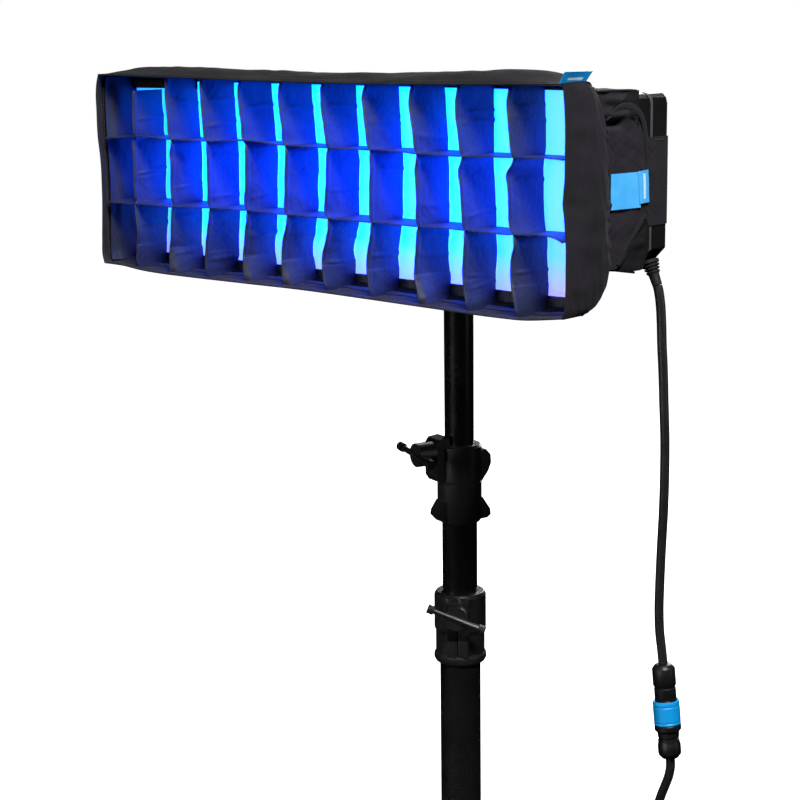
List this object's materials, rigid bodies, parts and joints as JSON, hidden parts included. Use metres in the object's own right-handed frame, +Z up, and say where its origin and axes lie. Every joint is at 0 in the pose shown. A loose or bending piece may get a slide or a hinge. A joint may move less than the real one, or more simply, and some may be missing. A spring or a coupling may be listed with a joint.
{
  "type": "strip softbox",
  "caption": "Black fabric strip softbox with an egg-crate grid on a slim LED panel, tilting and turning on a telescopic stand with swivelling legs, with its lead",
  "frame": {"origin": "on the floor, in the middle of the box round the stand and head (without the lead); the column's axis stands at x = 0.086584, y = 0.017856", "axes": "+Z up, the light faces -Y, +X towards the end that the lead leaves"},
  "size_m": [0.7172, 0.7628, 1.009],
  "materials": {
    "softbox_fabric": "matt woven",
    "grid_fabric": "matt woven",
    "diffusion_cloth": "translucent woven",
    "label_blue": "satin woven",
    "panel_plastic": "fine texture",
    "light_guide": "opal",
    "circuit_board": "solder mask",
    "spring_steel": "bright",
    "cast_black": "satin black paint",
    "tube_black": "gloss black",
    "zinc_steel": "zinc plated",
    "rubber_black": "matt",
    "lead_jacket": "satin",
    "ring_blue": "satin"
  },
  "bodies": {
    "root": {"base_column": "tube_black", "lower_collar": "cast_black", "leg_1": "tube_black", "foot_1": "rubber_black", "base_plug": "cast_black", "hub_collar": "cast_black", "lead_coil": "lead_jacket", "lead_tail": "lead_jacket", "far_plug": "panel_plastic"},
    "lower_handle": {"lower_handle": "cast_black"},
    "leg_2": {"leg_2": "tube_black", "foot_2": "rubber_black"},
    "leg_3": {"leg_3": "tube_black", "foot_3": "rubber_black"},
    "riser_1": {"riser_1": "tube_black", "upper_collar": "cast_black"},
    "upper_handle": {"upper_handle": "cast_black"},
    "riser_2": {"riser_2": "tube_black", "baby_pin": "zinc_steel", "lead_upper": "lead_jacket", "connector_socket": "panel_plastic", "connector_plug": "panel_plastic", "lead_lower": "lead_jacket"},
    "locking_ring": {"locking_ring": "ring_blue"},
    "bracket": {"receiver": "cast_black", "tilt_bolt": "zinc_steel"},
    "receiver_knob": {"receiver_knob": "rubber_black"},
    "tilt_lever": {"tilt_lever": "cast_black"},
    "head": {"rim_shell": "softbox_fabric", "top_wall": "softbox_fabric", "bottom_wall": "softbox_fabric", "end_wall_left": "softbox_fabric", "end_wall_right": "softbox_fabric", "ear_left": "softbox_fabric", "ear_right": "softbox_fabric", "rim_hoop": "spring_steel", "grid_upright_1": "grid_fabric", "grid_upright_2": "grid_fabric", "grid_upright_3": "grid_fabric", "grid_upright_4": "grid_fabric", "grid_upright_5": "grid_fabric", "grid_upright_6": "grid_fabric", "grid_upright_7": "grid_fabric", "grid_upright_8": "grid_fabric", "grid_upright_9": "grid_fabric", "grid_upright_10": "grid_fabric", "grid_row_1": "grid_fabric", "grid_row_2": "grid_fabric", "front_diffuser": "diffusion_cloth", "label_top": "label_blue", "label_end": "label_blue", "panel_frame": "panel_plastic", "rear_housing": "panel_plastic", "light_guide": "light_guide", "led_board": "circuit_board", "driver_board": "circuit_board", "lead_gland": "rubber_black", "tilt_yoke": "cast_black", "lead_stub": "lead_jacket"}
  },
  "joints": [
    {"name": "riser_1_slide", "type": "slide", "parent": "root", "child": "riser_1", "axis": [0, 0, 1], "range_m": [-0.06, 0.33]},
    {"name": "riser_2_slide", "type": "slide", "parent": "riser_1", "child": "riser_2", "axis": [0, 0, 1], "range_m": [-0.1, 0.35]},
    {"name": "head_pan", "type": "hinge", "parent": "riser_2", "child": "bracket", "pos_m": [0.08658, 0.01786, 0.878], "axis": [0, 0, 1], "range_deg": [-90, 90]},
    {"name": "head_tilt", "type": "hinge", "parent": "bracket", "child": "head", "pos_m": [0.08658, 0.01786, 0.926], "axis": [1, 0, 0], "range_deg": [-90, 30]},
    {"name": "tilt_lever_turn", "type": "hinge", "parent": "bracket", "child": "tilt_lever", "pos_m": [0.11158, 0.01786, 0.926], "axis": [1, 0, 0], "range_deg": [0, 120]},
    {"name": "receiver_knob_turn", "type": "hinge", "parent": "bracket", "child": "receiver_knob", "pos_m": [0.08658, 0.03786, 0.878], "axis": [0, 1, 0], "range_deg": [0, 360]},
    {"name": "upper_handle_turn", "type": "hinge", "parent": "riser_1", "child": "upper_handle", "pos_m": [0.08658, 0.01786, 0.684], "axis": [-0.2823, -0.9593, 0], "range_deg": [0, 360]},
    {"name": "lower_handle_turn", "type": "hinge", "parent": "root", "child": "lower_handle", "pos_m": [0.08658, 0.01786, 0.545], "axis": [0.5948, -0.8039, 0], "range_deg": [0, 360]},
    {"name": "leg_2_swivel", "type": "hinge", "parent": "root", "child": "leg_2", "pos_m": [0.08658, 0.01786, 0.116], "axis": [0, 0, 1], "range_deg": [0, 106]},
    {"name": "leg_3_swivel", "type": "hinge", "parent": "root", "child": "leg_3", "pos_m": [0.08658, 0.01786, 0.08], "axis": [0, 0, 1], "range_deg": [-106, 0]},
    {"name": "locking_ring_turn", "type": "hinge", "parent": "riser_2", "child": "locking_ring", "pos_m": [0.35814, -0.05614, 0.53612], "axis": [0.1087, 0, -0.9941], "range_deg": [0, 60]}
  ]
}
